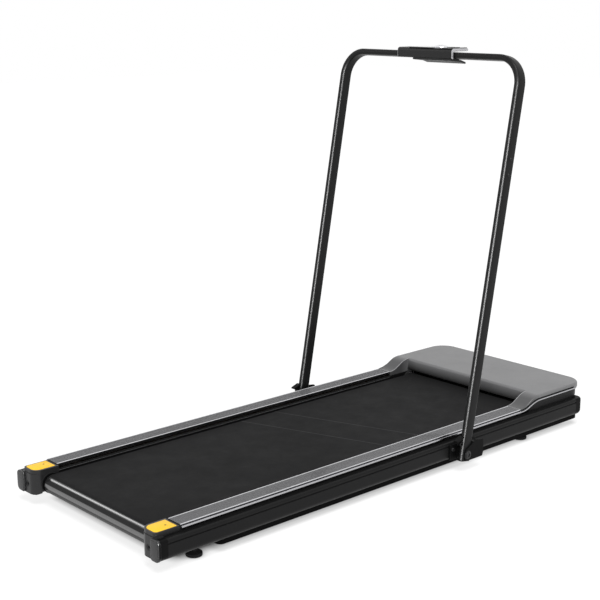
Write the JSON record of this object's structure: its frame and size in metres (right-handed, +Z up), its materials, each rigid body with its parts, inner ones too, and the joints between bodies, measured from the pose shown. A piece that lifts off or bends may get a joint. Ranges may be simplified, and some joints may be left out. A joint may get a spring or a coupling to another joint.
{
  "type": "walking pad",
  "caption": "Low motorised walking pad with a running belt between ribbed foot strips, a ramped front hood and a folding hoop handrail with a clip-on console.",
  "frame": {"origin": "on the floor under the middle of the base's length and width, with the hoop upright", "axes": "+X forwards towards the hood, +Y to the walker's left, +Z up"},
  "size_m": [1.512, 0.6516, 1.0603],
  "materials": {
    "black_painted_tube": "satin black powder coat",
    "black_plastic": "fine texture",
    "dark_grey_plastic": "fine texture",
    "hood_grey": "fine texture",
    "console_gloss": "glossy",
    "display_glass": "glossy dark window",
    "polished_metal": "polished",
    "strip_aluminium": "ribbed satin",
    "trim_aluminium": "bright",
    "yellow_pad": "satin",
    "belt": "fine texture",
    "deck_board": "waxed",
    "rubber": "matt",
    "wheel": "matt",
    "steel": "machined",
    "black_screw": "black oxide",
    "frame_paint": "satin"
  },
  "bodies": {
    "base": {"side_rail_L": "black_painted_tube", "side_rail_R": "black_painted_tube", "foot_strip_L": "strip_aluminium", "foot_strip_R": "strip_aluminium", "edge_trim_L": "trim_aluminium", "edge_trim_R": "trim_aluminium", "rear_end_cap_L": "black_plastic", "rear_end_cap_R": "black_plastic", "corner_pad_L": "yellow_pad", "corner_pad_R": "yellow_pad", "pad_screws": "black_screw", "rear_axle": "steel", "tension_bolts": "black_screw", "front_axle": "steel", "running_belt": "belt", "running_deck": "deck_board", "cross_members": "frame_paint", "deck_cushions": "rubber", "hood_panel": "hood_grey", "front_casing": "dark_grey_plastic", "front_bumper_L": "black_plastic", "front_bumper_R": "black_plastic", "belly_pan": "black_plastic", "motor_housing": "frame_paint", "motor_controller": "black_plastic", "power_inlet": "black_plastic", "rubber_feet": "rubber", "wheel_brackets": "black_plastic", "wheel_axles": "steel", "hinge_bracket_L": "black_painted_tube", "hinge_bracket_R": "black_painted_tube", "bracket_screws": "black_screw", "pivot_bolts": "steel", "drive_belt": "rubber"},
    "handrail": {"handrail_top": "black_painted_tube", "handrail_post_L": "black_painted_tube", "handrail_post_R": "black_painted_tube", "post_joiners": "steel", "joiner_screws": "black_screw", "post_end_plugs": "black_plastic", "console_housing": "dark_grey_plastic", "console_cover": "console_gloss", "display_window": "display_glass", "console_clamp": "console_gloss"},
    "front_roller": {"front_roller": "steel", "front_bearings": "steel", "roller_pulley": "steel"},
    "rear_roller": {"rear_roller": "steel", "rear_bearings": "steel"},
    "motor_rotor": {"motor_rotor": "steel", "motor_pulley": "steel"},
    "transport_wheel_L": {"transport_wheel_L": "wheel"},
    "transport_wheel_R": {"transport_wheel_R": "wheel"},
    "power_rocker": {"power_rocker": "black_plastic"},
    "start_button": {"start_button": "polished_metal"},
    "plus_key": {"plus_key": "console_gloss"},
    "minus_key": {"minus_key": "console_gloss"},
    "fold_lever_L": {"fold_lever_L": "black_plastic"},
    "fold_lever_R": {"fold_lever_R": "black_plastic"}
  },
  "joints": [
    {"name": "handrail_fold", "type": "hinge", "parent": "base", "child": "handrail", "pos_m": [0.189, 0, 0.046], "axis": [0, -1, 0], "range_deg": [0, 99]},
    {"name": "front_roller_turn", "type": "hinge", "parent": "base", "child": "front_roller", "pos_m": [0.543, 0, 0.053], "axis": [0, -1, 0], "continuous": true},
    {"name": "rear_roller_turn", "type": "hinge", "parent": "base", "child": "rear_roller", "pos_m": [-0.709, 0, 0.053], "axis": [0, -1, 0], "continuous": true},
    {"name": "motor_turn", "type": "hinge", "parent": "base", "child": "motor_rotor", "pos_m": [0.653, 0, 0.062], "axis": [0, -1, 0], "continuous": true},
    {"name": "transport_wheel_L_turn", "type": "hinge", "parent": "base", "child": "transport_wheel_L", "pos_m": [0.718, 0.2, 0.021], "axis": [0, 1, 0], "continuous": true},
    {"name": "transport_wheel_R_turn", "type": "hinge", "parent": "base", "child": "transport_wheel_R", "pos_m": [0.718, -0.2, 0.021], "axis": [0, 1, 0], "continuous": true},
    {"name": "power_switch", "type": "hinge", "parent": "base", "child": "power_rocker", "pos_m": [0.7495, -0.103, 0.049], "axis": [0, 1, 0], "range_deg": [0, 16]},
    {"name": "start_button_press", "type": "slide", "parent": "handrail", "child": "start_button", "axis": [0, 0, -1], "range_m": [0, 0.0015], "stiffness_N_per_m": 900},
    {"name": "plus_key_press", "type": "slide", "parent": "handrail", "child": "plus_key", "axis": [0, 0, -1], "range_m": [0, 0.0012], "stiffness_N_per_m": 700},
    {"name": "minus_key_press", "type": "slide", "parent": "handrail", "child": "minus_key", "axis": [0, 0, -1], "range_m": [0, 0.0012], "stiffness_N_per_m": 700},
    {"name": "fold_lever_L_press", "type": "hinge", "parent": "handrail", "child": "fold_lever_L", "pos_m": [0.17126, 0.3095, 0.07671], "axis": [0, -1, 0], "range_deg": [0, 10], "stiffness_Nm_per_rad": 0.6},
    {"name": "fold_lever_R_press", "type": "hinge", "parent": "handrail", "child": "fold_lever_R", "pos_m": [0.17126, -0.3095, 0.07671], "axis": [0, -1, 0], "range_deg": [0, 10], "stiffness_Nm_per_rad": 0.6}
  ],
  "couplings": [
    {"joint": "rear_roller_turn", "follows": "front_roller_turn", "ratio": 1},
    {"joint": "motor_turn", "follows": "front_roller_turn", "ratio": 2.4167}
  ]
}
